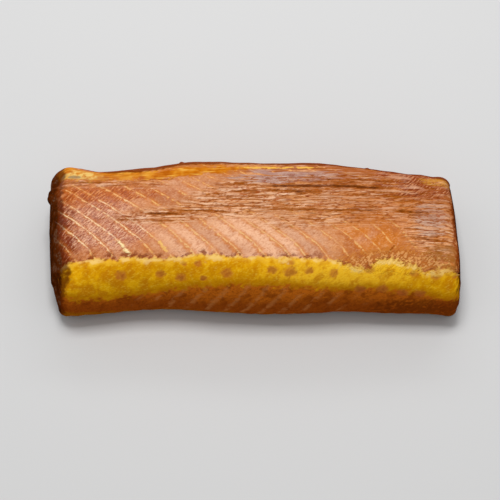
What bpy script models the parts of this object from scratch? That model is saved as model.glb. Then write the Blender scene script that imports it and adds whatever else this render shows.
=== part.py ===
"""A block of cold-smoked fish loin, skinned and trimmed, lying on its flat underside.

Metres, +Z up. X runs along the fish, -Y is the fat-seamed flank, and the origin is the middle of the
underside's box. Run with: blender --background --python part.py
"""

import math

import bmesh
import bpy
from mathutils import Matrix, Vector

# Driving dimensions: the block's overall box
LENGTH = 0.250
WIDTH = 0.094
THICKNESS = 0.047

# How the sides stand
FLANK_LEAN = 0.0050  # the flank's foot stands this much further out than its shoulder
BACK_LEAN = 0.0015
LEFT_BULGE = (0.0070, 0.0025)  # how far the left end's top edge and foot lie behind its middle
RIGHT_BULGE = (0.0045, 0.0010)
END_REACH = 0.030  # how far in from an end its bulge and slant still bend the block
END_INSET = 0.0030  # how much narrower the end faces are than the block, all round

# How round the long edges are: the power of the superellipse each quarter of the section follows
FLANK_SHOULDER = 3.2
BACK_SHOULDER = 4.2
FOOT_EDGE = 10.0
FLAT_SHARE = 0.97  # how far down the foot's rounding is cut off level, as a share of half the thickness

# The cage: cuts along, across and up, and how much closer they lie towards the edges
CUTS = (31, 9, 4)
EDGE_CLOSENESS = (0.60, 0.30, 0.10)
ROUNDING_LEVELS = 1

# The block's edges seen from above and its crown seen from the side. The first number is a share of half
# the length; the second is a share of half the width for the two edges, of the thickness for the crown.
BACK_EDGE = (
    (-1.00, 0.935),
    (-0.88, 0.940),
    (-0.72, 0.870),
    (-0.60, 0.905),
    (-0.45, 0.945),
    (-0.31, 1.000),
    (0.00, 0.985),
    (0.30, 0.985),
    (0.46, 0.945),
    (0.66, 0.885),
    (0.85, 0.835),
    (1.00, 0.800),
)
FOOT_LINE = (
    (-1.00, -1.000),
    (-0.85, -0.985),
    (-0.55, -0.895),
    (-0.30, -0.900),
    (-0.05, -0.950),
    (0.25, -0.955),
    (0.45, -0.925),
    (0.70, -0.950),
    (1.00, -0.960),
)
CROWN = ((-1.00, 0.90), (-0.60, 0.95), (-0.10, 1.00), (0.40, 0.99), (0.80, 0.92), (1.00, 0.87))

# How far each end lies in from the full length, in metres, from the flank's side (-1) to the back's (1)
LEFT_END = ((-1.0, 0.0085), (-0.6, 0.0045), (0.0, 0.0015), (0.6, 0.0000), (1.0, 0.0000))
RIGHT_END = ((-1.0, 0.0035), (-0.6, 0.0000), (0.0, 0.0005), (0.6, 0.0010), (1.0, 0.0030))

FLESH_COLOUR = (0.62, 0.29, 0.13, 1.0)
FLESH_ROUGHNESS = 0.42


def ease(share):
    """0 to 1 with a soft start and end."""
    share = min(1.0, max(0.0, share))
    return share * share * (3.0 - 2.0 * share)


def along(points, at):
    """A smooth curve through the points, read at one place."""
    last = len(points) - 2
    i = next((k for k in range(last) if at < points[k + 1][0]), last)
    (x0, y0), (x1, y1) = points[i], points[i + 1]
    before, after = points[max(i - 1, 0)], points[min(i + 2, last + 1)]
    slope0 = (y1 - before[1]) / (x1 - before[0])
    slope1 = (after[1] - y0) / (after[0] - x0)
    span = x1 - x0
    t = (at - x0) / span
    rise = y0 * (1 + 2 * t) * (1 - t) ** 2 + y1 * t * t * (3 - 2 * t)
    return rise + span * (slope0 * t * (1 - t) ** 2 - slope1 * t * t * (1 - t))


def closer_to_edges(count, closeness):
    """Places of the cuts from -1 to 1, nearer each other towards both ends."""
    evenly = (2.0 * (k + 1) / (count + 1) - 1.0 for k in range(count))
    return [(1 - closeness) * t + closeness * (1.5 * t - 0.5 * t**3) for t in evenly]


def cut_cube():
    """A cube from -1 to 1 with the cage's loop cuts, as a bmesh."""
    cage = bmesh.new()
    bmesh.ops.create_cube(cage, size=2.0)
    for axis, (count, closeness) in enumerate(zip(CUTS, EDGE_CLOSENESS)):
        normal = Vector([float(axis == k) for k in range(3)])
        for place in closer_to_edges(count, closeness):
            whole = cage.verts[:] + cage.edges[:] + cage.faces[:]
            bmesh.ops.bisect_plane(cage, geom=whole, plane_co=normal * place, plane_no=normal)
    return cage


def rounded(across, up):
    """The square's point moved onto the section's superellipse, whose corners differ."""
    largest = max(abs(across), abs(up))
    if largest == 0.0:
        return across, up
    shoulder = FLANK_SHOULDER if across < 0 else BACK_SHOULDER
    power = shoulder if up > 0 else FOOT_EDGE
    size = (abs(across) ** power + abs(up) ** power) ** (1.0 / power)
    return across * largest / size, up * largest / size


def end_depth(share, across, up):
    """How far a point of an end face lies in from the full length."""
    edge, bulge = (LEFT_END, LEFT_BULGE) if share < 0 else (RIGHT_END, RIGHT_BULGE)
    return along(edge, across) + bulge[0 if up > 0 else 1] * up * up


def block_point(corner):
    """Where a point of the cube from -1 to 1 lies on the block."""
    share, across, up = corner
    round_across, round_up = rounded(across, up)
    from_end = (1.0 - abs(share)) * LENGTH / 2.0
    inset = END_INSET * (1.0 - ease(from_end / (2.0 * END_INSET)))

    front = along(FOOT_LINE, share) * WIDTH / 2.0
    back = along(BACK_EDGE, share) * WIDTH / 2.0
    middle, half = (front + back) / 2.0, (back - front) / 2.0 - inset
    level = max(0.0, (round_up + FLAT_SHARE) / (1.0 + FLAT_SHARE))
    lean = FLANK_LEAN if across < 0 else -BACK_LEAN
    y = middle + half * round_across + lean * round_across**2 * level
    z = (along(CROWN, share) * THICKNESS - inset) * level

    bend = ease(1.0 - from_end / END_REACH) * end_depth(share, across, up)
    x = share * LENGTH / 2.0 - math.copysign(bend, share)
    return Vector((x, y, z))


def flesh_material():
    material = bpy.data.materials.new("smoked_flesh")
    material.use_nodes = True
    shader = material.node_tree.nodes["Principled BSDF"]
    shader.inputs["Base Color"].default_value = FLESH_COLOUR
    shader.inputs["Roughness"].default_value = FLESH_ROUGHNESS
    shader.inputs["Metallic"].default_value = 0.0
    return material


def make_block(collection):
    """The whole loin as one soft solid: a shaped cage, rounded by subdivision."""
    cage = cut_cube()
    for vertex in cage.verts:
        vertex.co = block_point(vertex.co)
    mesh = bpy.data.meshes.new("smoked_loin")
    cage.to_mesh(mesh)
    cage.free()
    mesh.shade_smooth()
    mesh.materials.append(flesh_material())

    block = bpy.data.objects.new("smoked_loin", mesh)
    collection.objects.link(block)
    rounding = block.modifiers.new("rounding", "SUBSURF")
    rounding.levels = ROUNDING_LEVELS
    rounding.render_levels = ROUNDING_LEVELS
    return block


def fit_to_size(block):
    """Brings the rounded block to its overall box, with the middle of the underside at the origin."""
    bpy.context.view_layer.update()
    rounded_block = block.evaluated_get(bpy.context.evaluated_depsgraph_get())
    points = [vertex.co.copy() for vertex in rounded_block.to_mesh().vertices]
    rounded_block.to_mesh_clear()
    lowest = Vector([min(point[k] for point in points) for k in range(3)])
    highest = Vector([max(point[k] for point in points) for k in range(3)])
    foot = Vector(((lowest.x + highest.x) / 2.0, (lowest.y + highest.y) / 2.0, lowest.z))
    box = highest - lowest
    size = Matrix.Diagonal((LENGTH / box.x, WIDTH / box.y, THICKNESS / box.z, 1.0))
    block.data.transform(size @ Matrix.Translation(-foot))


def main():
    for old in list(bpy.data.objects):
        bpy.data.objects.remove(old)
    collection = bpy.data.collections.new("smoked_fish")
    bpy.context.scene.collection.children.link(collection)
    fit_to_size(make_block(collection))


main()
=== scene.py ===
"""Smoked fish loin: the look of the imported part, its stage and its camera, as a small add-on."""

import math

import bmesh
import bpy
import numpy as np
from bpy.props import FloatProperty, FloatVectorProperty, PointerProperty
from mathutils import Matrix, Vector
from mathutils.bvhtree import BVHTree


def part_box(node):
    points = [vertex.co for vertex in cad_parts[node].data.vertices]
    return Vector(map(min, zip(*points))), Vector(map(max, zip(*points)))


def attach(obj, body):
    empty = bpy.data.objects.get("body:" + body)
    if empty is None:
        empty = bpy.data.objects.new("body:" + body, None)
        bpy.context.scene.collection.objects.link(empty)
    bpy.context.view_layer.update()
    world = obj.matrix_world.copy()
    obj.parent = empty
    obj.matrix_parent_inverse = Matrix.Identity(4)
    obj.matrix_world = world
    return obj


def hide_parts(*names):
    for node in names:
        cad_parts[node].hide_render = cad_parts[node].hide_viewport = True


bl_info = {
    "name": "Smoked Fish Loin",
    "version": (1, 0, 0),
    "blender": (4, 5, 0),
    "location": "3D View > Sidebar > Fish",
    "description": "Builds the look of a cold-smoked fish loin and the studio it lies in",
    "category": "Object",
}

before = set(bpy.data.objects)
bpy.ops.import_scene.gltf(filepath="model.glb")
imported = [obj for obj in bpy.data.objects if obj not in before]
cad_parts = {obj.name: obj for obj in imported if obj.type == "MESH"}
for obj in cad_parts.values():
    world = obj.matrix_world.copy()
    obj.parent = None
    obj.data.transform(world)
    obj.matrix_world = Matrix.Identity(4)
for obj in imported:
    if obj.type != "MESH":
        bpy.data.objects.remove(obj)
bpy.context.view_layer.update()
NODE = "smoked_loin"
MM = 0.001


# ---------------------------------------------------------------- the block's surface as a grid

FACET_BLUR = (2.8, 5.5)  # how widely the solid's facets are smoothed along and around, in grid steps
CORE_DEPTH = 0.018  # how far inside the block's box the core lies, from which the surface is found
END_DEPTH = 0.022  # and how far inside the box's two ends
# How many points go round each stretch of the section, more where it shows and where it turns
GIRTH_STEPS = {
    "top": 128,
    "back_shoulder": 44,
    "back": 12,
    "back_foot": 18,
    "under": 22,
    "front_foot": 26,
    "front": 20,
    "front_shoulder": 56,
}
LENGTH_STEP = 0.00105  # between the rings of points along the block
CAP_TURN_STEPS = 34  # rings that turn over an end's edge
CAP_FACE_STEPS = 14  # rings from there to the middle of the end
END_LEAN = math.radians(58)  # a ring that leans further than this lies on an end face
FLAT_LEAN = math.radians(81)  # and the relief fades out from this lean on
SAME_PLACE = 1e-7


def smooth_rows(values, spread, wrap):
    """A Gaussian blur down the first axis; spread is in rows."""
    reach = int(3 * spread) + 1
    weights = np.exp(-0.5 * (np.arange(-reach, reach + 1) / spread) ** 2)
    weights /= weights.sum()
    padded = np.pad(values, ((reach, reach), (0, 0)), "wrap" if wrap else "edge")
    out = np.zeros_like(values)
    for k, weight in enumerate(weights):
        out += weight * padded[k : k + len(values)]
    return out


def girth_rays():
    """For one section: where each ray starts on the core and where it points, as (across, up) pairs."""
    low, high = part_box(NODE)
    middle = (low + high) / 2
    half_y = (high.y - low.y) / 2 - CORE_DEPTH
    half_z = (high.z - low.z) / 2 - CORE_DEPTH
    starts, turns = [], []

    def side(name, start, end, turn):
        for k in range(GIRTH_STEPS[name]):
            share = k / GIRTH_STEPS[name]
            starts.append([a + share * (b - a) for a, b in zip(start, end)])
            turns.append(turn)

    def corner(name, at, turn):
        for k in range(GIRTH_STEPS[name]):
            starts.append(at)
            turns.append(turn - math.pi / 2 * k / GIRTH_STEPS[name])

    top_front, top_back = (-half_y, half_z), (half_y, half_z)
    foot_front, foot_back = (-half_y, -half_z), (half_y, -half_z)
    side("top", top_front, top_back, math.pi / 2)
    corner("back_shoulder", top_back, math.pi / 2)
    side("back", top_back, foot_back, 0.0)
    corner("back_foot", foot_back, 0.0)
    side("under", foot_back, foot_front, -math.pi / 2)
    corner("front_foot", foot_front, -math.pi / 2)
    side("front", foot_front, top_front, -math.pi)
    corner("front_shoulder", top_front, -math.pi)
    starts = np.array(starts) + (middle.y, middle.z)
    return starts, np.stack([np.cos(turns), np.sin(turns)], 1), np.array([middle.y, middle.z])


def length_stations():
    """Each ring's place along X, how far its rays lean to the end and how far its core shrinks."""
    low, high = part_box(NODE)
    inner_low, inner_high = low.x + END_DEPTH, high.x - END_DEPTH
    count = round((inner_high - inner_low) / LENGTH_STEP)
    body = [(x, 0.0, 0.0) for x in np.linspace(inner_low, inner_high, count)]
    turns = [math.pi / 2 * (k + 1) / CAP_TURN_STEPS for k in range(CAP_TURN_STEPS)]
    faces = [(k + 1) / (CAP_FACE_STEPS + 1) for k in range(CAP_FACE_STEPS)]
    right = [(inner_high, turn, 0.0) for turn in turns]
    right += [(inner_high, math.pi / 2, share) for share in faces]
    left = [(inner_low, -turn, shrink) for _, turn, shrink in right]
    return left[::-1] + body + right


def cad_surface():
    """The node's surface as rings of points, with its facets smoothed away, and each ring's lean."""
    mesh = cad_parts[NODE].data
    tree = BVHTree.FromPolygons([v.co for v in mesh.vertices], [p.vertices for p in mesh.polygons])
    starts, rays, middle = girth_rays()
    stations = length_stations()
    origin = np.zeros((len(stations), len(starts), 3))
    aim = np.zeros_like(origin)
    for i, (x, lean, shrink) in enumerate(stations):
        origin[i, :, 0] = x
        origin[i, :, 1:] = starts + (middle - starts) * shrink
        aim[i, :, 0] = math.sin(lean)
        aim[i, :, 1:] = rays * math.cos(lean)
    reach = np.zeros(origin.shape[:2])
    for i, j in np.ndindex(reach.shape):
        reach[i, j] = tree.ray_cast(Vector(origin[i, j]), Vector(aim[i, j]))[3]
    reach = smooth_rows(reach, FACET_BLUR[0], False)
    reach = smooth_rows(reach.T, FACET_BLUR[1], True).T
    lean = np.array([lean for _, lean, _ in stations])
    # On an end face the rays of one corner run together, so their points have to meet
    _, shared = np.unique(starts.round(9), axis=0, return_inverse=True)
    shared = shared.ravel()
    for i in np.flatnonzero(np.abs(lean) == math.pi / 2):
        reach[i] = (np.bincount(shared, reach[i]) / np.bincount(shared))[shared]
    return origin + aim * reach[:, :, None], lean


def lay_of(points, lean):
    """Each point's place on the skin laid flat, in mm: along the loin and round from its shoulder."""
    count = points.shape[1]
    ridge = count - GIRTH_STEPS["front_shoulder"] // 2
    under = sum(GIRTH_STEPS[name] for name in ("top", "back_shoulder", "back", "back_foot"))
    under += GIRTH_STEPS["under"] // 2
    steps = np.linalg.norm(np.roll(points, -1, 1) - points, axis=2) / MM
    from_top = np.cumsum(steps, 1) - steps
    total = steps.sum(1, keepdims=True)
    around = from_top - from_top[:, ridge : ridge + 1]
    around[:, :under] += total
    body = np.flatnonzero(lean == 0.0)
    first, last = body[0], body[-1]
    around[:first], around[last + 1 :] = around[first], around[last]
    along = points[:, :, 0] / MM
    ring_steps = np.linalg.norm(np.diff(points, axis=0), axis=2) / MM
    along[last + 1 :] = along[last] + np.cumsum(ring_steps[last:], 0)
    along[:first] = along[first] - np.cumsum(ring_steps[:first][::-1], 0)[::-1]
    return along, around


# ---------------------------------------------------------------- soft patterns

LATTICE = 256  # the noise repeats after this many lumps
NOISE_GAIN = 1.6  # brings the noise to about -1 to 1


def noise(x, y, seed):
    """Gradient noise, about -1 to 1, whose lumps are one unit across."""
    angles = np.random.default_rng(seed).random((LATTICE, LATTICE)) * 2 * math.pi
    x0, y0 = np.floor(x).astype(int), np.floor(y).astype(int)
    fx, fy = x - x0, y - y0
    sx, sy = (t * t * t * (t * (6 * t - 15) + 10) for t in (fx, fy))

    def slope(i, j):
        angle = angles[(x0 + i) % LATTICE, (y0 + j) % LATTICE]
        return np.cos(angle) * (fx - i) + np.sin(angle) * (fy - j)

    low = slope(0, 0) * (1 - sx) + slope(1, 0) * sx
    high = slope(0, 1) * (1 - sx) + slope(1, 1) * sx
    return NOISE_GAIN * (low * (1 - sy) + high * sy)


def waves(along, around, layers):
    """Layers of soft waves added up, each given as (height, length along, length round, seed)."""
    return sum(height * noise(along / x, around / y, seed) for height, x, y, seed in layers)


def step(value, low, high):
    """0 below low, 1 above high and a soft rise between; low may be above high."""
    share = np.clip((value - low) / (high - low), 0, 1)
    return share * share * (3 - 2 * share)


def mound(offset, half):
    """1 in the middle and 0 at half either side, softly."""
    return np.clip(1 - (offset / half) ** 2, 0, 1) ** 2


def line_at(points, at):
    """A polyline's height at each place."""
    x, y = zip(*points)
    return np.interp(at, x, y)


# ---------------------------------------------------------------- the marks on the skin

# All in mm: places are (along the loin, round it from the front shoulder), and waves are layers of
# (height, length along, length round, seed).

# Where the fat band's edges run round from the front shoulder, by place along the loin
FAT_TOP = (
    (-126, 6.0),
    (-118, 8.5),
    (-100, 11.0),
    (-80, 12.0),
    (-70, 13.0),
    (-58, 11.5),
    (-46, 12.5),
    (-32, 15.0),
    (-10, 14.0),
    (12, 14.0),
    (28, 13.0),
    (42, 12.5),
    (52, 10.0),
    (60, 7.0),
    (66, 6.5),
    (74, 11.0),
    (82, 12.0),
    (90, 8.5),
    (100, 4.5),
    (110, 4.5),
    (118, 5.0),
    (126, 2.0),
)
FAT_FOOT = (
    (-126, -11.0),
    (-112, -13.0),
    (-90, -14.5),
    (-76, -13.5),
    (-66, -12.0),
    (-50, -8.5),
    (-32, -4.8),
    (-10, -3.0),
    (20, -3.5),
    (38, -5.0),
    (50, -7.0),
    (66, -6.0),
    (80, -7.0),
    (95, -9.5),
    (108, -12.5),
    (118, -16.0),
    (126, -20.0),
)
FAT_TOP_WAVES = ((0.8, 5.5, 14, 5),)
FAT_FOOT_WAVES = ((0.7, 6, 14, 6),)
FAT_FOOT_FADE = 0.40  # how fast the fat thins out at its foot, as a share of that at its cut top edge
FAT_TORN_FADE = 0.42  # and at its top where that is torn
FAT_TORN = (38, 58)  # from where to where along the loin the cut edge turns into the torn one

# The strip of amber fat along the back's shoulder: (along, its middle's place round, half width)
BACK_FAT = (
    (-126, 73.0, 6.5),
    (-113, 74.0, 7.0),
    (-100, 71.0, 5.5),
    (-78, 69.5, 4.5),
    (-58, 70.0, 4.0),
    (-40, 72.0, 3.8),
    (-20, 74.0, 3.4),
    (-2, 76.5, 1.0),
    (16, 76.6, 0.4),
    (36, 77.0, -1.0),
    (126, 72.0, -4.0),
)
# Where the top turns over into the back
BACK_RIM = (
    (-126, 81),
    (-113, 83),
    (-100, 79),
    (-86, 73.5),
    (-68, 73),
    (-45, 78.5),
    (0, 81),
    (30, 81),
    (60, 79),
    (90, 75),
    (126, 69),
)

# Where along the loin each muscle seam of the top meets the line SEAM_LINE round from the shoulder
TOP_SEAMS = (-131, -121, -110, -97, -86, -75.5, -62, -53, -38, -24, -11)
TOP_SEAMS += (3, 17, 27, 39, 52, 63, 72.5, 83.5, 96, 110, 122, 134, 146, 158, 170)
SEAM_LINE = 20.0
SEAM_BOW = 0.0068  # how fast a seam of the top bows over as it climbs, per mm
SEAM_FOOT_SLANT = 0.75  # its slant below that line, where one is half a right angle
SEAM_UPRIGHT, SEAM_TURNS = 0.38, (40, 100)  # how much steeper the seams stand to the right, and where
SEAM_SWAY = ((2.0, 40, 30, 3), (0.9, 11, 9, 4))
TOP_SWAY, FLANK_SWAY, BACK_SWAY = 0.6, 0.5, 0.8  # the share of that sway each side's seams take
FLANK_SEAM_GAP = 11.5  # between two seams of the flank or the back
FLANK_SLANT, BACK_SLANT = -0.62, 0.75  # how far along they move for each mm round
BACK_MIDDLE = 90
BLOCK_SEED = 5  # draws each muscle block's tone

END_FACING = (0.70, 0.90)  # how squarely skin must face left or right to be an end's dried face
EDGE_FADE = 14.0  # how many mm of skin a whole turn of facing counts for
EDGE_AT, EDGE_HALF = 118.0, 8.0  # the dried edge that stands proud round each end
EDGE_FULLNESS = (0.2, 1.2)  # at the left and the right

# The folds: patches of fine creasing as (along, round, half length, half width, strength)
CREASED = (
    (-57, 40, 34, 7, 0.9),
    (-18, 48, 34, 11, 0.9),
    (2, 58, 38, 13, 0.9),
    (48, 60, 62, 16, 1.0),
    (100, 58, 34, 17, 0.8),
    (60, 43, 70, 11, 0.6),
    (106, 30, 22, 26, 0.8),
    (30, 35, 50, 9, 0.35),
    (-96, 64, 34, 5, 0.7),
    (-62, 62, 20, 6, 0.5),
)
# and the deep creases, as (from along, from round, to along, to round, half width, depth)
DEEP_CREASES = (
    (-82, 38.0, -66, 37.6, 0.5, 0.35),
    (-64, 41.0, -42, 42.3, 0.8, 0.55),
    (-60, 36.5, -46, 36.8, 0.6, 0.50),
    (-45, 44.5, -10, 43.2, 0.5, 0.40),
    (-34, 47.5, 12, 47.0, 0.5, 0.35),
    (-22, 54.0, 6, 54.6, 0.5, 0.35),
    (-16, 57.5, 26, 58.5, 0.5, 0.40),
    (-22, 62.5, 12, 62.0, 0.5, 0.35),
    (4, 61.8, 84, 60.4, 0.75, 0.70),
    (40, 66.6, 92, 65.4, 0.45, 0.45),
    (14, 68.4, 46, 68.8, 0.4, 0.35),
    (18, 57.6, 44, 57.0, 0.7, 0.50),
    (26, 64.5, 72, 64.0, 0.5, 0.35),
    (6, 45.4, 48, 45.2, 0.6, 0.45),
    (47, 44.6, 76, 44.0, 0.5, 0.45),
    (84, 43.8, 108, 43.0, 0.6, 0.50),
    (26, 38.9, 45, 38.6, 0.5, 0.40),
    (52, 39.0, 64, 38.6, 0.5, 0.30),
    (92, 26.0, 118, 23.4, 0.6, 0.40),
    (58, 55.0, 96, 54.4, 0.5, 0.35),
    (84, 51.5, 118, 50.5, 0.4, 0.30),
    (84, 33.0, 100, 31.5, 0.4, 0.25),
    (-114, 64.6, -88, 65.0, 0.5, 0.40),
    (-92, 62.0, -66, 63.0, 0.4, 0.30),
    (-70, 65.0, -46, 66.5, 0.5, 0.35),
    (77.5, 13.5, 83.5, 21.0, 0.6, 0.50),
    (-94, 38.0, -88, 38.6, 0.4, 0.25),
    (12, 31.0, 18, 33.5, 0.4, 0.20),
)
CREASED_REACH = 1.25  # how far past its half sizes a patch fades out
FOLD_WAVES = ((1.2, 17, 13, 7),)  # how the creases wander
# A fine crease runs where these waves pass through zero, and so much either side of it
FINE_CREASES = ((1, 26, 1.7, 8), (0.35, 9, 1.7 / 1.9, 9))
FINE_CREASE_DEPTH, FINE_CREASE_EDGE = 0.38, 0.11
FINE_CREASE_BREAKS, BREAK_SPAN = ((1, 13, 4, 12),), (-0.4, 0.4)  # and is broken off by these
CREASE_TAPER = (-0.06, 0.18)  # the shares of a deep crease's length over which its ends run out
CREASE_WANDER = (0.35, 3.5)  # height and length of a deep crease's own waves
CREASE_BREAKS = (0.35, 5, 11)  # height, length and seed of its shallower stretches
CREASE_FULL = 0.75  # its usual share of its depth
CREASE_SPREAD = 1.3  # how far past its half width it reaches

# Brown spots in the fat band: (along, round, radius)
SPOT_SPREAD, SPOT_SQUASH = 1.4, 1.25  # how far past its radius a spot fades out, and how flat it lies
FAT_SPOTS = (
    (-77, 2.2, 4.2),
    (-54, 3.0, 3.4),
    (-42, 1.0, 3.8),
    (-29, 1.0, 2.6),
    (-15, 4.2, 4.2),
    (-32, 9.6, 2.6),
    (-40, 9.4, 2.2),
    (11.5, 6.4, 3.6),
    (22, 5.2, 4.6),
    (22, 11.0, 3.2),
    (33, 5.8, 3.2),
    (47, 4.2, 3.2),
    (68, 6.0, 3.6),
    (94, 3.6, 3.0),
    (107, 2.2, 4.0),
    (119, 0.6, 3.0),
    (63, -6.5, 4.0),
    (76, -6.5, 4.2),
    (88, -9.0, 3.8),
    (98, -9.5, 4.0),
)
# Tips of dried crust, or dips where the height is below zero: (along, round, radius, height)
TIPS = (
    (-113, 77, 8.0, 1.2),
    (-121, 71, 10.0, -1.8),
    (-126, -12, 22.0, -2.4),
    (-114, -35, 6.0, 1.6),
    (120, -35, 7.0, 2.0),
    (119, 74, 11.0, 1.0),
    (121, -24, 9.0, 1.6),
    (-123.5, 60, 8.0, 3.4),
    (-124.5, 56, 4.0, 1.2),
    (-43.5, 83, 1.6, 0.9),
    (123.5, 1.0, 2.2, 1.4),
    (-124, 17, 1.6, 0.8),
    (70, 80, 2.0, 0.6),
)


def seam_fields(along, around):
    """How many muscle seams lie before each place, on the top, the flank and the back."""
    sway = waves(along, around, SEAM_SWAY)
    rise = around - SEAM_LINE
    run = np.where(rise > 0, rise + SEAM_BOW * rise * rise, SEAM_FOOT_SLANT * rise)
    run *= 1 - SEAM_UPRIGHT * step(along, *SEAM_TURNS)
    top_seam = np.interp(along + run + TOP_SWAY * sway, TOP_SEAMS, np.arange(len(TOP_SEAMS)))
    block = np.floor(top_seam).astype(int)
    return {
        "top_seam": top_seam,
        "flank_seam": (along + FLANK_SLANT * around + FLANK_SWAY * sway) / FLANK_SEAM_GAP,
        "back_seam": (along + BACK_SLANT * (around - BACK_MIDDLE) + BACK_SWAY * sway) / FLANK_SEAM_GAP,
        "block_tone": np.random.default_rng(BLOCK_SEED).uniform(-1, 1, len(TOP_SEAMS))[block],
        "block_share": top_seam - block,
    }


def fat_fields(along, around):
    """How far each place lies inside or outside the edges of the fat and the rims, in mm."""
    fat_top = line_at(FAT_TOP, along) + waves(along, around, FAT_TOP_WAVES)
    fat_foot = line_at(FAT_FOOT, along) + waves(along, around, FAT_FOOT_WAVES)
    torn_top = 1 - (1 - FAT_TORN_FADE) * step(along, *FAT_TORN)
    middles, halves = (line_at([(x, line[k]) for x, *line in BACK_FAT], along) for k in (0, 1))
    spots = np.zeros_like(along)
    for x, y, radius in FAT_SPOTS:
        away = np.hypot(along - x, SPOT_SQUASH * (around - y))
        spots = np.maximum(spots, mound(away, SPOT_SPREAD * radius))
    return {
        "above_fat": around - fat_top,
        "below_fat": fat_foot - around,
        "fat_in": np.minimum(torn_top * (fat_top - around), FAT_FOOT_FADE * (around - fat_foot)),
        "back_fat": halves - np.abs(around - middles),
        "past_rim": around - line_at(BACK_RIM, along),
        "spots": spots,
    }


def fold_fields(along, around):
    """How creased the skin is, how deep its creases cut and how high the ridges between them stand."""
    smooth = np.ones_like(along)
    for x, y, half_x, half_y, strength in CREASED:
        away = np.hypot((along - x) / half_x, (around - y) / half_y)
        smooth *= 1 - strength * mound(away, CREASED_REACH)
    fold = 1 - smooth
    wander = waves(along, around, FOLD_WAVES)
    fine = waves(along, around + wander, FINE_CREASES)
    crease = FINE_CREASE_DEPTH * fold * np.exp(-((fine / FINE_CREASE_EDGE) ** 2))
    crease *= step(waves(along, around, FINE_CREASE_BREAKS), *BREAK_SPAN)
    wave_height, wave_length = CREASE_WANDER
    break_height, break_length, break_seed = CREASE_BREAKS
    still = np.zeros_like(along)
    for x0, y0, x1, y1, half, depth in DEEP_CREASES:
        share = (along - x0) / (x1 - x0)
        line = y0 + (y1 - y0) * share + wander / 2
        line += wave_height * noise(along / wave_length, still, int(10 + y0))
        taper = step(share, *CREASE_TAPER) * step(1 - share, *CREASE_TAPER)
        broken = CREASE_FULL + break_height * noise(along / break_length, still + y0, break_seed)
        cut = np.exp(-(((around - line) / (CREASE_SPREAD * half)) ** 2))
        crease = np.maximum(crease, np.clip(depth * broken * taper * cut, 0, 1))
    return {"fold": fold, "crease": crease, "ridge": fold * np.clip(fine, -1, 1)}


def skin_fields(along, around, outward, lean):
    """Everything the skin's relief and colours are drawn from, by place on the skin laid flat."""
    lying = step(np.abs(lean)[:, None], END_LEAN, math.pi / 2)
    facing = np.maximum(np.abs(outward[:, :, 0]), lying)
    patches = {
        name: mound(np.hypot((along - x) / half_x, (around - y) / half_y), 1.0)
        for name, ((x, y, half_x, half_y), *_) in PATCHES.items()
    }
    return {
        "along": along,
        "around": around,
        "down": -outward[:, :, 2],
        "past_end": EDGE_FADE * (facing - np.where(along < 0, *END_FACING)),
        **seam_fields(along, around),
        **fat_fields(along, around),
        **fold_fields(along, around),
        **patches,
    }


# How far things stand out of the plain block, in mm
LUMPS = ((0.55, 34, 24, 20), (0.22, 9, 8, 21))
TOP_PAD, FLANK_PAD = 0.16, 0.22  # the muscle between two seams
PAD_LOST = 0.8  # the share of the pads' height that folds take away
FAT_STANDS = 0.35
RIDGE_SHARE = 0.30  # how high the ridges stand beside how deep the creases are
# Where muscle, the top, the flank and the fat begin and are full, in mm
MUSCLE_EDGE, TOP_EDGE, FLANK_EDGE, FAT_EDGE = (0.5, -1.0), (2, 8), (-2, -8), (-1.5, 2.5)


def seam_pad(phase):
    """How full the muscle is between its seams: 1 midway and 0 on a seam."""
    return 1 - np.abs(2 * (phase - np.floor(phase)) - 1) ** 3


def relief(along, around, fields, depth):
    """How far the skin stands out of the plain block, in mm."""
    muscle = step(fields["fat_in"], *MUSCLE_EDGE)
    on_top = muscle * step(around, *TOP_EDGE) * (1 - PAD_LOST * fields["fold"])
    on_flank = muscle * step(around, *FLANK_EDGE)
    out = waves(along, around, LUMPS) + FAT_STANDS * step(fields["fat_in"], *FAT_EDGE)
    out += TOP_PAD * on_top * seam_pad(fields["top_seam"])
    out += FLANK_PAD * on_flank * seam_pad(fields["flank_seam"])
    out -= depth * (fields["crease"] - RIDGE_SHARE * fields["ridge"])
    out += np.where(along < 0, *EDGE_FULLNESS) * mound(np.abs(along) - EDGE_AT, EDGE_HALF)
    for x, y, radius, height in TIPS:
        out += height * mound(np.hypot(along - x, around - y), radius)
    return out


def normals_of(points):
    """Outward directions of the grid's points."""
    down = np.gradient(points, axis=0)
    round_about = np.roll(points, -1, 1) - np.roll(points, 1, 1)
    outward = np.cross(down, round_about)
    length = np.linalg.norm(outward, axis=2, keepdims=True)
    return outward / np.maximum(length, 1e-12)


# ---------------------------------------------------------------- the flesh's finish

# Clouded patterns: (space, size along and across in mm, turn in degrees, detail). Bundles of muscle
# fibre are about 1 mm thick, and salt-dried folds lie 1 to 3 mm apart. Single fibres, salt grains and
# the pores of the crust are near 0.1 mm, too fine to show, so "fibre", "fleck" and "grit" are drawn
# about ten times as coarse.
PATTERNS = {
    "blush": ("lay", 22.0, 13.0, 25, 2.0),
    "mottle": ("lay", 3.0, 1.9, 25, 3.0),
    "fleck": ("lay", 1.3, 0.8, 20, 1.0),
    "fibre": ("lay", 5.0, 0.9, 46, 2.0),
    "pleat": ("lay", 12.0, 1.1, 0, 3.0),
    "wrinkle": ("lay", 20.0, 2.6, 0, 2.0),
    "crinkle": ("lay", 11.0, 1.9, 4, 2.0),
    "thread": ("lay", 9.0, 7.0, 0, 2.0),
    "fray": ("lay", 3.2, 2.2, 35, 3.0),
    "cloud": ("lay", 9.0, 7.0, 60, 2.0),
    "smear": ("lay", 16.0, 3.0, 0, 3.0),
    "crust": ("solid", 7.0, 7.0, 0, 4.0),
    "grit": ("solid", 1.2, 1.2, 0, 2.0),
}

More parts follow.
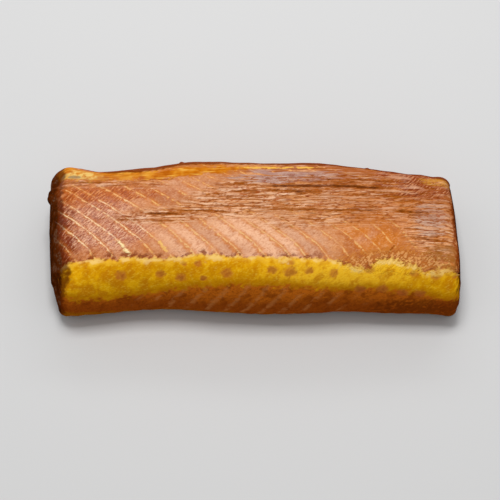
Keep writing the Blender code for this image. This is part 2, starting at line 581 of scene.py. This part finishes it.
# Thin lines drawn where a pattern passes through its middle
LINES_OF = {"wrinkle_off": "wrinkle", "crinkle_off": "crinkle"}
SEAM_WOBBLE = {"fray": 0.20, "thread": 0.14}  # how patterns roughen the seams, as shares of their gap

# Broad patches of tone: (along, round, half length, half width) in mm, then the patterns that break
# them up, and where the product starts to show and shows fully
PATCHES = {
    "amber_left": ((-98, 60, 60, 20), {"blush": 3.0, "smear": 3.5, "fray": 1.5}, 0.15, 0.60),
    "amber_mid": ((-30, 74, 60, 9), {"blush": 3.0, "smear": 4.0}, 0.15, 0.80),
    "brown_right": ((50, 72, 84, 17), {"blush": 2.5, "smear": 3.5}, 0.12, 0.65),
    "brown_corner": ((104, 67, 46, 22), {"blush": 2.5, "smear": 3.5}, 0.12, 0.65),
    "smoky_right": ((84, 58, 78, 33), {"blush": 1.5, "smear": 2.0}, 0.02, 0.45),
    "pink_mid": ((0, 25, 84, 27), {"blush": 2.5, "mottle": 1.0}, 0.10, 0.75),
    "pink_left": ((-90, 34, 48, 28), {"blush": 2.5, "mottle": 1.0}, 0.10, 0.70),
    "dusk_mid": ((-34, 58, 48, 19), {"blush": 3.0, "smear": 1.5}, 0.10, 0.75),
    "orange_right": ((78, 34, 58, 30), {"blush": 3.0, "mottle": 1.0}, 0.10, 0.75),
    "red_left": ((-124, 24, 31, 50), {"fray": 3.0, "blush": 1.5, "fibre": 1.5}, 0.10, 0.60),
    "red_right": ((125, 34, 11, 56), {"fray": 4.0, "blush": 1.5}, 0.15, 0.70),
    "rust_low": ((88, 10, 54, 14), {"fray": 3.5, "smear": 3.5}, 0.15, 0.60),
    "tuft_shade": ((84, 12, 54, 13), {"fray": -6.0, "fleck": -5.0, "fibre": -4.0}, 0.60, 1.10),
    "tufts": ((84, 10, 54, 12), {"fray": 6.0, "fleck": 5.0, "fibre": 4.0}, 0.55, 1.05),
    "sheen_zone": ((106, 39, 17, 21), {"smear": 4.0, "pleat": 2.5}, 0.20, 0.80),
    "sheen_back": ((22, 69, 54, 9.5), {"smear": 6.0, "pleat": 3.0}, 0.25, 0.70),
    "back_thread": ((14, 76.4, 38, 1.7), {"fray": 6.0, "thread": 6.0}, 0.15, 0.70),
    "yellow_patch": ((-104, 71, 21, 6.5), {"fray": 4.0, "smear": 4.0}, 0.15, 1.00),
    "yellow_corner": ((112, 67, 17, 6.5), {"fray": 6.0, "smear": 7.0}, 0.20, 0.90),
    "flank_mid": ((-4, -14, 100, 34), {"thread": 6.0, "fray": 3.0}, 0.15, 0.95),
    "flank_dusk": ((104, -24, 56, 15), {"fray": 4.0, "cloud": 4.0}, 0.15, 0.80),
    "rust_right": ((113, 14, 20, 12), {"fray": 3.0, "smear": 3.0}, 0.10, 0.75),
    "grey_spot": ((-107.5, 69, 7.0, 2.4), {"fray": 2.0, "pleat": 2.5}, 0.30, 0.70),
    "blob_zone": ((-75.5, 19.0, 8.5, 8.5), {"fray": 3.0}, 0.15, 0.5),
    "small_blob_zone": ((-54, 18.0, 6.5, 8.0), {"fray": 3.0}, 0.2, 0.6),
    "fat_glow": ((55, 4, 70, 14), {}, 0.0, 1.0),
    "fat_dusk": ((-100, -8, 60, 12), {}, 0.0, 1.0),
}

# Masks: what is added up, and where the sum starts to show and shows fully. Fields are in mm, and a
# pattern counts from its middle.
MASKS = {
    "left": ({"along": -1, "blush": 40}, 10, 75),
    "right": ({"along": 1, "blush": 40}, 15, 80),
    "speck": ({"mottle": 1, "fleck": 0.8}, -0.02, 0.20),
    "pale_speck": ({"mottle": -0.8, "fleck": -0.9}, 0.02, 0.22),
    "fibres": ({"fibre": 1, "fleck": 0.3}, -0.02, 0.14),
    # Pale strokes between the fibres, where painted glints go
    "fibre_glints": ({"fibre": -1, "fleck": -0.4}, 0.02, 0.16),
    "top_line": ({"top_gap": -1, "fray": 3.0, "fleck": 1.6}, -0.85, 0.0),
    "top_glow": ({"top_gap": -1, "fray": 4.0, "thread": 3.0}, -3.6, -0.2),
    "blob": ({"top_gap": -1, "fray": 6.0, "fleck": 2.0}, -1.6, -0.4),
    "block_dark": ({"block_tone": 1, "blush": 4.0}, 0.0, 1.0),
    "block_light": ({"block_tone": -1, "blush": 4.0}, 0.0, 1.0),
    "block_edge": ({"block_share": 1, "mottle": 1.0, "blush": 1.5}, 0.55, 1.0),
    "line_shows": ({"thread": 0.8, "fold": -0.15, "fray": 1.0}, -0.20, 0.07),
    # Painted shade along the creases: a soft brown either side and a dark core
    "crease_sides": ({"crease": 1, "fleck": 0.2, "fray": 0.3}, 0.02, 0.20),
    "creased": ({"crease": 1, "fleck": 0.2, "fray": 0.3}, 0.20, 0.50),
    # Painted shade in the hollows between the ridges, then painted highlight on the crests
    "hollow_shade": ({"ridge": -1, "fleck": 0.3}, 0.05, 0.60),
    "crest": ({"ridge": 1, "fleck": 0.3}, 0.10, 0.60),
    # Thin lines along the wrinkles and crinkles, which carry painted shade in their grooves
    "wrinkles": ({"wrinkle_off": -1, "fold": 0.022, "thread": 0.12, "fray": 0.06}, -0.010, 0.016),
    "crinkles": ({"crinkle_off": -1, "fold": 0.022, "thread": -0.14, "fray": 0.08}, -0.010, 0.016),
    # The ridge beside each wrinkle, where painted highlights go
    "wrinkle_highlights": ({"wrinkle": 1, "crinkle": 0.6, "fold": 0.03}, 0.05, 0.17),
    "flesh": ({"fat_in": -1}, -0.3, 0.8),
    # The pleats' grooves and ridges: painted shade in the grooves, painted highlights on the ridges
    "pleats": ({"pleat": -1, "fold": 0.05}, 0.00, 0.14),
    "pleat_highlights": ({"pleat": 1, "fold": 0.05}, 0.04, 0.18),
    "folded": ({"fold": 1}, 0.02, 0.65),
    "fat": ({"fat_in": 1, "fray": 4.0, "thread": 3.0, "fleck": 2.0}, -0.9, 1.3),
    # The fat band's top edge, painted lighter where it rolls over toward the light
    "fat_rim": ({"above_fat": 1, "fray": 4.0, "cloud": 8.0}, -4.4, -0.8),
    "fringe": ({"above_fat": 1, "fray": 6.0, "thread": 16.0, "fleck": 3.0}, -2.2, 1.2),
    "bright_fat": ({"cloud": 1, "fat_glow": 0.16}, -0.03, 0.16),
    "dull_fat": ({"cloud": -1, "fray": 0.2, "fat_dusk": 0.12}, 0.02, 0.16),
    # The fat band's foot, painted darker: partly shade where it turns down, partly an amber-brown tone
    "low_fat": ({"below_fat": 1, "fray": 5.0, "cloud": 14.0}, -5.5, -0.2),
    "spotted": ({"spots": 1, "fray": 1.0}, 0.10, 0.75),
    "spot_hearts": ({"spots": 1, "fray": 2.0, "cloud": 2.0}, 0.55, 1.05),
    "torn": ({"above_fat": -1, "fray": 9.0, "cloud": 7.0, "along": -0.012}, -4.2, -0.8),
    "torn_shows": ({"fray": -1, "cloud": 0.5}, -0.05, 0.08),
    "flank": ({"below_fat": 1}, -7.0, -6.0),
    # The lower flank, painted darker towards the bottom as shade
    "low": ({"around": -1, "blush": 16, "fray": 8}, 8, 22),
    "foot": ({"around": -1, "fray": 8.0, "blush": 12, "along": -0.02}, 28.0, 32.5),
    "face": ({"past_end": -1}, 0.5, 2.5),
    "flank_line": ({"flank_gap": -1, "fray": 4.0}, -2.6, -0.2),
    # Painted shade along the flank's foot, where it meets the table
    "contact_shade": ({"around": -1, "fray": 8.0, "along": 0.02}, 32.5, 37.0),
    "back_fat": ({"back_fat": 1, "fray": 7.0, "smear": 7.0}, -1.0, 1.8),
    "rim": ({"past_rim": 1, "fray": 5.0}, -2.0, 0.4),
    "back": ({"past_rim": 1, "fray": 3.0}, 2.0, 6.0),
    "back_line": ({"back_gap": -1, "fray": 5.0, "thread": 7.0}, -2.2, 0.2),
    "under": ({"down": 1, "fray": 1.0}, 0.35, 0.80),
    "dry_edge": ({"past_end": 1, "crust": 10.0, "fray": 8.0, "along": -0.01}, -4.5, 0.0),
    "end": ({"past_end": 1, "fray": 3.0}, -0.8, 1.2),
    "crusted": ({"crust": 1, "grit": 0.4}, -0.04, 0.12),
    # Painted grey glints on the dried end face
    "end_glints": ({"crust": -1, "grit": 0.6}, 0.06, 0.20),
}

# Colours laid over the flesh's own, the first underneath: (sRGB hex or a setting's name, strength, the
# masks that bound it)
FLESH_COLOUR = "#de9a66"
FAT_COLOUR = "#dc9806"
COLOURS = (
    ("#cc7c4c", 0.8, ("left",)),
    ("#d8863e", 0.8, ("right",)),
    ("#f8c09a", 0.90, ("pink_mid",)),
    ("#c67c60", 0.75, ("pink_left",)),
    ("#cc8a68", 0.6, ("dusk_mid",)),
    ("#d47828", 0.75, ("orange_right",)),
    ("#a85e38", 0.40, ("block_dark",)),
    ("#f4b890", 0.35, ("block_light",)),
    ("#b8683c", 0.35, ("block_edge",)),
    ("#a45828", 0.24, ("speck",)),
    ("#f8d0ac", 0.24, ("pale_speck",)),
    ("#a05028", 0.10, ("fibres",)),
    ("#963a14", 0.35, ("pink_left", "speck")),
    ("#84320c", 0.52, ("pink_left", "fibres")),
    # painted glints on the pale fibre strokes of the pink block, and of the amber block below
    ("#ffd0a8", 0.55, ("pink_left", "fibre_glints")),
    ("#b85400", 0.88, ("amber_left",)),
    ("#842c00", 0.55, ("amber_left", "fibres")),
    ("#ffbc78", 0.45, ("amber_left", "fibre_glints")),
    ("#c06c1c", 0.65, ("amber_mid",)),
    ("#a04c12", 0.80, ("brown_right",)),
    # painted shade in the pleats' grooves
    ("#6c2c04", 0.40, ("brown_right", "pleats")),
    ("#7a2804", 0.90, ("red_left",)),
    # painted glints on the fibres of the red left end
    ("#ffc8a0", 0.16, ("red_left", "fibre_glints")),
    ("#d67828", 0.50, ("top_glow", "line_shows")),
    ("#f6be78", 0.80, ("top_line", "line_shows")),
    ("#ffe0b4", 0.60, ("top_line", "pink_left")),
    ("#d4803c", 0.40, ("top_glow", "pink_mid")),
    ("#ffd49c", 0.45, ("top_line", "pink_mid")),
    ("#ffe0a0", 0.95, ("blob", "blob_zone")),
    ("#f8c470", 0.85, ("blob", "small_blob_zone")),
    ("#e8a468", 0.30, ("folded",)),
    # painted shade in the hollows and painted highlight on the crests
    ("#a85818", 0.28, ("hollow_shade",)),
    ("#f4bc94", 0.20, ("crest",)),
    # painted shade in the pleats' grooves, then painted highlights on their ridges
    ("#a85414", 0.32, ("folded", "pleats")),
    ("#fcceaa", 0.38, ("folded", "pleat_highlights")),
    # painted highlights on the wrinkles' ridges
    ("#ffd6b4", 0.40, ("folded", "wrinkle_highlights")),
    # painted highlights on the pleats' ridges
    ("#f4ccb4", 0.40, ("brown_right", "pleat_highlights")),
    # painted sheen: greyish pink at the right, mauve grey along the back
    ("#c4a898", 0.60, ("sheen_zone",)),
    ("#b0908a", 0.62, ("sheen_back",)),
    # painted shade in the grooves of the crinkles and wrinkles
    ("#ac5006", 0.72, ("folded", "crinkles")),
    ("#943e02", 0.82, ("folded", "wrinkles")),
    ("#a44c06", 0.30, ("smoky_right",)),
    ("#983a02", 0.68, ("brown_corner",)),
    ("#702400", 0.55, ("brown_corner", "fibres")),
    # painted glints on the fibres of the brown corner
    ("#ffb47c", 0.45, ("brown_corner", "fibre_glints")),
    # painted highlights on the wrinkles' ridges at the corner
    ("#ffc8a0", 0.35, ("brown_corner", "wrinkle_highlights")),
    # painted shade in the creases
    ("#a4540c", 0.80, ("crease_sides",)),
    ("#682c04", 0.85, ("creased",)),
    ("#c8782c", 0.7, ("rust_low",)),
    ("#94581c", 0.60, ("rust_right",)),
    ("#a04c14", 0.50, ("tuft_shade",)),
    # the torn curls: paler shreds, lightened further by painted highlight on their tops
    ("#f4b474", 0.50, ("tufts",)),
    ("#9c4208", 0.85, ("red_right",)),
    ("#84340c", 0.80, ("torn", "torn_shows")),
    ("#cc6c18", 1.0, ("flank",)),
    # painted shade: the flank darker towards the bottom
    ("#90400e", 0.85, ("flank", "low")),
    ("#6c2c04", 0.35, ("flank", "speck")),
    ("#7c3408", 0.55, ("flank", "dull_fat")),
    ("#dc9454", 0.30, ("flank", "flank_line", "flank_mid")),
    ("#5c2606", 0.55, ("flank", "flank_dusk")),
    ("#a06008", 0.85, ("foot",)),
    # painted shade where the flank meets the table
    ("#3c1a06", 0.75, ("flank", "contact_shade")),
    ("#d07808", 0.9, ("back_fat",)),
    ("#f4b440", 0.35, ("back_fat", "bright_fat")),
    ("#ac5008", 0.6, ("back_fat", "dull_fat")),
    # the back fat's pleats: painted shade in the grooves, painted highlights on the ridges
    ("#b05408", 0.50, ("back_fat", "pleats")),
    ("#ffcc60", 0.55, ("back_fat", "pleat_highlights")),
    ("#f2bc50", 0.9, ("back_thread",)),
    ("#f4d078", 0.8, ("yellow_patch",)),
    ("#eca838", 0.48, ("yellow_corner",)),
    ("#8f7658", 0.75, ("grey_spot",)),
    ("fat_colour", 1.0, ("fat",)),
    ("#f6b810", 0.80, ("fat", "bright_fat")),
    ("#ffc42c", 0.75, ("fat", "fat_glow")),
    ("#c87c0c", 0.60, ("fat", "dull_fat")),
    ("#ffd84c", 0.30, ("fat", "pale_speck")),
    ("#c07010", 0.28, ("fat", "speck")),
    # toward the fat band's foot: painted shade over an amber-brown tone
    ("#b86c00", 0.6, ("fat", "low_fat")),
    ("#bc6430", 0.58, ("spotted",)),
    ("#8c4418", 0.38, ("spot_hearts",)),
    # painted light along the fat band's top edge
    ("#f6c440", 0.50, ("fat", "fat_rim")),
    ("#fad68c", 0.60, ("fat", "fringe")),
    ("#742c04", 0.85, ("rim",)),
    ("#8c3c0c", 0.9, ("back",)),
    ("#6c2c08", 0.40, ("back", "speck")),
    ("#a85c20", 0.45, ("back", "bright_fat")),
    ("#b87840", 0.32, ("back", "back_line")),
    ("#74380e", 1.0, ("under",)),
    ("#4c2208", 0.50, ("under", "speck")),
    ("#985c20", 0.45, ("under", "bright_fat")),
    ("#5c2004", 0.80, ("dry_edge",)),
    ("#5a2606", 1.0, ("end",)),
    ("#2c1204", 0.6, ("end", "crusted")),
    # painted grey glints on the dried end face
    ("#8c7860", 0.30, ("end", "end_glints")),
)

# The finest relief: (height in mm, the masks that bound it)
FINE_RELIEF = (
    (-0.04, ("flesh", "speck")),
    (0.04, ("flesh", "pale_speck")),
    (-0.03, ("flesh", "fibres")),
    (0.09, ("flesh", "pink_left", "fibre_glints")),
    (0.08, ("flesh", "amber_left", "fibre_glints")),
    (0.16, ("brown_corner", "fibre_glints")),
    (0.12, ("flesh", "top_line", "line_shows")),
    (0.25, ("blob", "blob_zone")),
    (0.18, ("tufts",)),
    (-0.08, ("folded", "pleats")),
    (-0.16, ("folded", "wrinkles")),
    (-0.12, ("folded", "crinkles")),
    (0.12, ("folded", "wrinkle_highlights")),
    (-0.35, ("creased",)),
    (-0.25, ("flesh", "torn", "torn_shows")),
    (0.08, ("fat",)),
    (0.03, ("fat", "bright_fat")),
    (-0.10, ("spotted",)),
    (0.06, ("flank", "flank_line")),
    (0.30, ("end", "crusted")),
)
# Roughness: what each finish adds to the flesh's own, which is that of firm damp skin
FLESH_ROUGHNESS = 0.42
ROUGHNESS = (
    (0.10, ("fat",)),
    (0.12, ("flank",)),
    (-0.14, ("sheen_zone",)),
    (0.12, ("creased",)),
    (-0.08, ("brown_right",)),
    (0.15, ("end",)),
    (0.08, ("speck",)),
)
# Where oil stands on the skin: shares of a full film, below zero where smoke has dried it off
OIL_FILM = (
    (0.35, ("sheen_zone",)),
    (0.35, ("sheen_back",)),
    (0.25, ("crest",)),
    (0.30, ("folded", "pleat_highlights")),
    (0.35, ("face", "amber_left")),
    (0.35, ("face", "pink_left")),
    (0.40, ("top_line", "pink_left")),
    (0.15, ("brown_corner",)),
    (0.30, ("brown_corner", "fibre_glints")),
    (0.10, ("brown_right",)),
    (0.40, ("blob", "blob_zone")),
    (-0.9, ("red_right",)),
    (-0.9, ("rim",)),
)
OIL_ROUGHNESS = 0.20
OIL_IOR = 1.45
FLESH_SPECULAR = 0.0  # the dried skin under the oil is dull: all of its gloss comes from the film


def linear(colour):
    """An sRGB hex colour as linear red, green, blue and a full alpha."""
    parts = (int(colour[k : k + 2], 16) / 255 for k in (1, 3, 5))
    return (*(c / 12.92 if c <= 0.04045 else ((c + 0.055) / 1.055) ** 2.4 for c in parts), 1.0)


def node(tree, kind, inputs, out=0, **settings):
    """Adds a node with its settings, feeds its inputs with values or links, and returns one output."""
    made = tree.nodes.new("ShaderNode" + kind)
    for name, value in settings.items():
        setattr(made, name, value)
    for name, value in inputs.items():
        if isinstance(value, bpy.types.NodeSocket):
            tree.links.new(value, made.inputs[name])
        else:
            made.inputs[name].default_value = value
    return made.outputs[out] if made.outputs else made


def sources_of(tree, fields):
    """The skin's fields and clouded patterns, ready to be added up into masks."""
    sources = {name: node(tree, "Attribute", {}, "Fac", attribute_name=name) for name in fields}
    lay = node(tree, "Attribute", {}, "Vector", attribute_name="lay")
    solid = node(tree, "TexCoord", {}, "Object")
    solid = node(tree, "VectorMath", {0: solid, 3: 1 / MM}, operation="SCALE")
    for name, (space, size_along, size_across, turn, detail) in PATTERNS.items():
        turned = {
            "Vector": lay if space == "lay" else solid,
            "Rotation": (0, 0, math.radians(turn)),
            "Scale": (size_along, size_across, size_across),
        }
        place = node(tree, "Mapping", turned, vector_type="TEXTURE")
        sources[name] = node(tree, "TexNoise", {"Vector": place, "Scale": 1.0, "Detail": detail})
    for name, pattern in LINES_OF.items():
        middle = node(tree, "Math", {0: sources[pattern], 1: 0.5}, operation="SUBTRACT")
        sources[name] = node(tree, "Math", {0: middle}, operation="ABSOLUTE")
    for name in ("top", "flank", "back"):
        phase = sources[name + "_seam"]
        for wobble, amount in SEAM_WOBBLE.items():
            added = {0: sources[wobble], 1: amount, 2: phase}
            phase = node(tree, "Math", added, operation="MULTIPLY_ADD")
        middle = sum(SEAM_WOBBLE.values()) / 2
        phase = node(tree, "Math", {0: phase, 1: middle}, operation="SUBTRACT")
        share = node(tree, "Math", {0: phase, 1: 0.5}, operation="PINGPONG")
        sources[name + "_gap"] = node(tree, "Math", {0: share, 1: FLANK_SEAM_GAP}, operation="MULTIPLY")
    return sources


def sum_of(tree, sources, terms, start):
    """The sources added up by weight; a pattern counts from its middle."""
    total = start - 0.5 * sum(weight for source, weight in terms.items() if source in PATTERNS)
    for source, weight in terms.items():
        added = {0: sources[source], 1: float(weight), 2: total}
        total = node(tree, "Math", added, operation="MULTIPLY_ADD")
    return total


def masks_of(tree, sources):
    """All masks by name, each rising softly from 0 to 1."""
    totals = {}
    for name, (terms, low, high) in MASKS.items():
        totals[name] = (sum_of(tree, sources, terms, 0.0), low, high)
    for name, (_, terms, low, high) in PATCHES.items():
        broken = sum_of(tree, sources, terms, 1.0)
        broken = node(tree, "Math", {0: sources[name], 1: broken}, operation="MULTIPLY")
        totals[name] = (broken, low, high)
    masks = {}
    for name, (total, low, high) in totals.items():
        span = {"Value": total, "From Min": float(low), "From Max": float(high)}
        masks[name] = node(tree, "MapRange", span, interpolation_type="SMOOTHSTEP")
    return masks


def product(tree, masks, names, strength):
    """The masks multiplied together and by a strength."""
    result = strength
    for name in names:
        result = node(tree, "Math", {0: masks[name], 1: result}, operation="MULTIPLY")
    return result


def total_of(tree, masks, table, start):
    """The start value with each line of the table added where its masks allow."""
    total = start
    for amount, names in table:
        part = product(tree, masks, names, amount)
        total = node(tree, "Math", {0: part, 1: total}, operation="ADD")
    return total


def smoked_flesh(fields, settings):
    """Cold-smoked fish flesh, cut, salted and dried until its face is a firm, slightly oily skin.

    The muscle shows pink and amber between pale seams, the fat is matt golden yellow, and smoke has
    browned every edge. The folds carry painted shade in their creases and painted highlights on their
    ridges, and sheen and glints are also painted into the colour. Oil gives the broad soft glints; its
    refractive index is near 1.45.
    """
    material = bpy.data.materials.new("cold_smoked_flesh")
    material.use_nodes = True
    tree = material.node_tree
    tree.nodes.clear()
    sources = sources_of(tree, fields)
    masks = masks_of(tree, sources)
    colour = (*settings.flesh_colour, 1.0)
    for tone, strength, names in COLOURS:
        over = linear(tone) if tone.startswith("#") else (*getattr(settings, tone), 1.0)
        mix = {0: product(tree, masks, names, strength), 6: colour, 7: over}
        colour = node(tree, "Mix", mix, 2, data_type="RGBA")
    height = total_of(tree, masks, FINE_RELIEF, 0.0)
    grain = node(tree, "Bump", {"Height": height, "Distance": MM, "Strength": 1.0})
    finish = {
        "Base Color": colour,
        "Roughness": total_of(tree, masks, ROUGHNESS, FLESH_ROUGHNESS),
        "Normal": grain,
        "Coat Normal": grain,
        "IOR": OIL_IOR,
        "Specular IOR Level": FLESH_SPECULAR,
        "Coat Weight": total_of(tree, masks, OIL_FILM, settings.oil),
        "Coat Roughness": OIL_ROUGHNESS,
    }
    shader = node(tree, "BsdfPrincipled", finish)
    node(tree, "OutputMaterial", {"Surface": shader})
    return material


# ---------------------------------------------------------------- pieces

MAP_GAP = 0.012  # kept free round each part of the baking map
MAP_SKIN_SHARE = 0.80  # of the map's width, which the skin takes; the end faces take the rest
TABLE_COLOUR = "#d9d9d9"


def colour_setting(name, description, hex_colour):
    """A colour that the user can change."""
    return FloatVectorProperty(
        name=name,
        description=description,
        subtype="COLOR",
        size=3,
        default=linear(hex_colour)[:3],
        min=0.0,
        max=1.0,
    )


class LoinSettings(bpy.types.PropertyGroup):
    """What a user would change about the loin and its table"""

    flesh_colour: colour_setting("Flesh", "Colour of the smoked muscle under its tints", FLESH_COLOUR)
    fat_colour: colour_setting("Fat", "Colour of the fat band under its tints", FAT_COLOUR)
    fold_depth: FloatProperty(
        name="Crease depth",
        description="How deep the dried creases are, as a share of their full depth",
        subtype="FACTOR",
        default=0.6,
        min=0.0,
        max=2.0,
    )
    oil: FloatProperty(
        name="Oil",
        description="How much more oil stands on all of the skin",
        subtype="FACTOR",
        default=0.0,
        min=0.0,
        max=0.5,
    )
    table_colour: colour_setting("Table", "Colour of the table the loin lies on", TABLE_COLOUR)


class FISH_OT_loin(bpy.types.Operator):
    """Builds the smoked loin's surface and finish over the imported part"""

    bl_idname = "fish.loin"
    bl_label = "Smoked loin"

    def execute(self, context):
        settings = context.scene.fish_loin
        points, lean = cad_surface()
        along, around = lay_of(points, lean)
        outward = normals_of(points)
        fields = skin_fields(along, around, outward, lean)
        height = relief(along, around, fields, settings.fold_depth)
        height *= step(np.abs(lean)[:, None], math.pi / 2, FLAT_LEAN)
        points = points + outward * (height * MM)[:, :, None]
        points[:, :, 2] = np.maximum(points[:, :, 2], 0.0)
        lay = np.stack([along, around, 0 * along], 2)
        loin = loin_object(points, lean, {**fields, "lay": lay})
        loin.data.materials.append(smoked_flesh(fields, settings))
        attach(loin, "root")
        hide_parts(NODE)
        return {"FINISHED"}


def grid_faces(rings, count):
    """The quads between neighbouring rings, as vertex numbers."""
    ring, place = np.meshgrid(np.arange(rings - 1), np.arange(count), indexing="ij")
    beside = (place + 1) % count
    corners = ((ring, place), (ring + 1, place), (ring + 1, beside), (ring, beside))
    return np.stack([i * count + j for i, j in corners], -1).reshape(-1, 4)


def merge_doubles(mesh):
    """Joins the points of the end faces that lie in the same place."""
    whole = bmesh.new()
    whole.from_mesh(mesh)
    bmesh.ops.remove_doubles(whole, verts=whole.verts, dist=SAME_PLACE)
    whole.to_mesh(mesh)
    whole.free()


def with_poles(values):
    """A grid's values as one row a point, the first and last of them again for the two poles."""
    rows = values.reshape(values.shape[0] * values.shape[1], -1)
    return np.concatenate([rows, rows[:1], rows[-1:]])


def skin_mesh(points):
    """The grid of points, closed at both ends by a fan round a pole."""
    rings, count = points.shape[:2]
    place = np.arange(count)
    beside = (place + 1) % count
    left_pole = rings * count
    last = left_pole - count
    left_fan = np.stack([place, beside, np.full(count, left_pole)], 1)
    right_fan = np.stack([last + beside, last + place, np.full(count, left_pole + 1)], 1)
    corners = np.concatenate([points.reshape(-1, 3), [points[0].mean(0), points[-1].mean(0)]])
    faces = grid_faces(rings, count).tolist() + left_fan.tolist() + right_fan.tolist()
    mesh = bpy.data.meshes.new("smoked_loin_skin")
    mesh.from_pydata(corners.tolist(), [], faces)
    mesh.update()
    mesh.shade_smooth()
    return mesh


def face_peak(values, owner):
    """At every corner, the highest value among the corners of its face."""
    peak = np.full(owner[-1] + 1, -np.inf)
    np.maximum.at(peak, owner, values)
    return peak[owner]


def share_of(values, among):
    """The values as shares of the span of those that count."""
    low, high = values[among].min(), values[among].max()
    return (values - low) / (high - low)


def add_bake_map(mesh, lean, fields):
    """Lays the skin flat for baking, with the two end faces one over the other beside it."""
    point_of = np.zeros(len(mesh.loops), int)
    mesh.loops.foreach_get("vertex_index", point_of)
    owner = np.repeat(np.arange(len(mesh.polygons)), [face.loop_total for face in mesh.polygons])
    places = np.zeros(3 * len(mesh.vertices))
    mesh.vertices.foreach_get("co", places)
    y, z = places.reshape(-1, 3)[point_of, 1:].T

    along, around = fields["along"], fields["around"]
    lean_at = with_poles(np.broadcast_to(lean[:, None], along.shape))[point_of, 0]
    on_end = face_peak(np.abs(lean_at), owner) > END_LEAN
    u, v = (with_poles(field)[point_of, 0] for field in (along, around))
    highest, lowest = face_peak(v, owner), -face_peak(-v, owner)
    girth = around.max() - around.min()
    wraps = (highest - lowest > girth / 2) & (v < around.min() + girth / 2)
    v = np.where(wraps, highest + 1.0, v)

    u = MAP_GAP + share_of(u, ~on_end) * (MAP_SKIN_SHARE - 2 * MAP_GAP)
    v = MAP_GAP + share_of(v, ~on_end) * (1 - 2 * MAP_GAP)
    for on_face, base in ((on_end & (lean_at < 0), 0.0), (on_end & (lean_at > 0), 0.5)):
        across, up = (share_of(value, on_face)[on_face] for value in (y, z))
        u[on_face] = MAP_SKIN_SHARE + up * (1 - MAP_SKIN_SHARE - MAP_GAP)
        v[on_face] = base + MAP_GAP + across * (0.5 - 2 * MAP_GAP)
    layer = mesh.uv_layers.new(name="OFBake")
    layer.data.foreach_set("uv", np.stack([u, v], 1).astype(np.float32).ravel())


def loin_object(points, lean, fields):
    """The skin as an object that carries its fields and its baking map."""
    mesh = skin_mesh(points)
    for name, values in fields.items():
        rows = with_poles(values)
        kind, key = ("FLOAT_VECTOR", "vector") if rows.shape[1] == 3 else ("FLOAT", "value")
        layer = mesh.attributes.new(name, kind, "POINT")
        layer.data.foreach_set(key, rows.astype(np.float32).ravel())
    add_bake_map(mesh, lean, fields)
    merge_doubles(mesh)
    loin = bpy.data.objects.new("smoked_loin_skin", mesh)
    bpy.context.scene.collection.objects.link(loin)
    return loin


# ---------------------------------------------------------------- stage

TABLE_SIZE = 4.0
TABLE_ROUGHNESS = 0.9
DAYLIGHT = 0.42  # the even light from all round
# The lamps, which all point at the loin: (name, place in metres, size, power in watts)
LAMPS = (
    ("overhead", (-0.05, 0.36, 1.3), (0.5, 0.4), 10.2),
    ("back_strip", (0.25, 1.2, 0.95), (1.4, 0.25), 2.9),
)
CAMERA_LENS = 100.0
CAMERA_DISTANCE = 0.845
CAMERA_ELEVATION = 61.0
CAMERA_AIM = (-0.0016, -0.0062, 0.0168)


def matt_laminate(colour):
    """White laminate pressed with a matt face: no gloss, so it only takes the loin's soft shadow."""
    material = bpy.data.materials.new("matt_white_laminate")
    material.use_nodes = True
    shader = material.node_tree.nodes["Principled BSDF"]
    shader.inputs["Base Color"].default_value = (*colour, 1.0)
    shader.inputs["Roughness"].default_value = TABLE_ROUGHNESS
    shader.inputs["Specular IOR Level"].default_value = 0.0
    return material


def add_daylight(scene):
    scene.world = bpy.data.worlds.new("studio")
    scene.world.use_nodes = True
    background = scene.world.node_tree.nodes["Background"]
    background.inputs["Color"].default_value = (1, 1, 1, 1)
    background.inputs["Strength"].default_value = DAYLIGHT


def add_lamp(scene, name, place, size, power):
    light = bpy.data.lights.new(name, "AREA")
    light.shape = "RECTANGLE"
    light.size, light.size_y = size
    light.energy = power
    lamp = bpy.data.objects.new(name, light)
    lamp.location = place
    lamp.rotation_euler = (-Vector(place)).to_track_quat("-Z", "Y").to_euler()
    scene.collection.objects.link(lamp)


def add_camera(scene):
    camera = bpy.data.objects.new("camera", bpy.data.cameras.new("camera"))
    camera.data.lens = CAMERA_LENS
    elevation = math.radians(CAMERA_ELEVATION)
    back = Vector((0, -math.cos(elevation), math.sin(elevation)))
    camera.location = Vector(CAMERA_AIM) + back * CAMERA_DISTANCE
    camera.rotation_euler = (math.pi / 2 - elevation, 0, 0)
    scene.collection.objects.link(camera)
    scene.camera = camera


class FISH_OT_stage(bpy.types.Operator):
    """Lays the table and sets the soft studio light and the camera"""

    bl_idname = "fish.stage"
    bl_label = "Stage"

    def execute(self, context):
        scene = context.scene
        bpy.ops.mesh.primitive_plane_add(size=TABLE_SIZE)
        table = context.object
        table.name = "table"
        table.data.materials.append(matt_laminate(scene.fish_loin.table_colour))
        add_daylight(scene)
        for lamp in LAMPS:
            add_lamp(scene, *lamp)
        add_camera(scene)
        scene.view_settings.view_transform = "Standard"
        return {"FINISHED"}


class FISH_PT_panel(bpy.types.Panel):
    """Sizes, colours and steps of the smoked loin"""

    bl_idname = "FISH_PT_panel"
    bl_label = "Smoked Loin"
    bl_space_type = "VIEW_3D"
    bl_region_type = "UI"
    bl_category = "Fish"

    def draw(self, context):
        settings = context.scene.fish_loin
        for name in ("flesh_colour", "fat_colour", "fold_depth", "oil", "table_colour"):
            self.layout.prop(settings, name)
        for operator in (FISH_OT_loin, FISH_OT_stage):
            self.layout.operator(operator.bl_idname)


CLASSES = (LoinSettings, FISH_OT_loin, FISH_OT_stage, FISH_PT_panel)


def register():
    for cls in CLASSES:
        bpy.utils.register_class(cls)
    bpy.types.Scene.fish_loin = PointerProperty(type=LoinSettings)


def unregister():
    del bpy.types.Scene.fish_loin
    for cls in reversed(CLASSES):
        bpy.utils.unregister_class(cls)


def main():
    register()
    bpy.ops.fish.loin()
    bpy.ops.fish.stage()


if __name__ == "__main__":
    main()
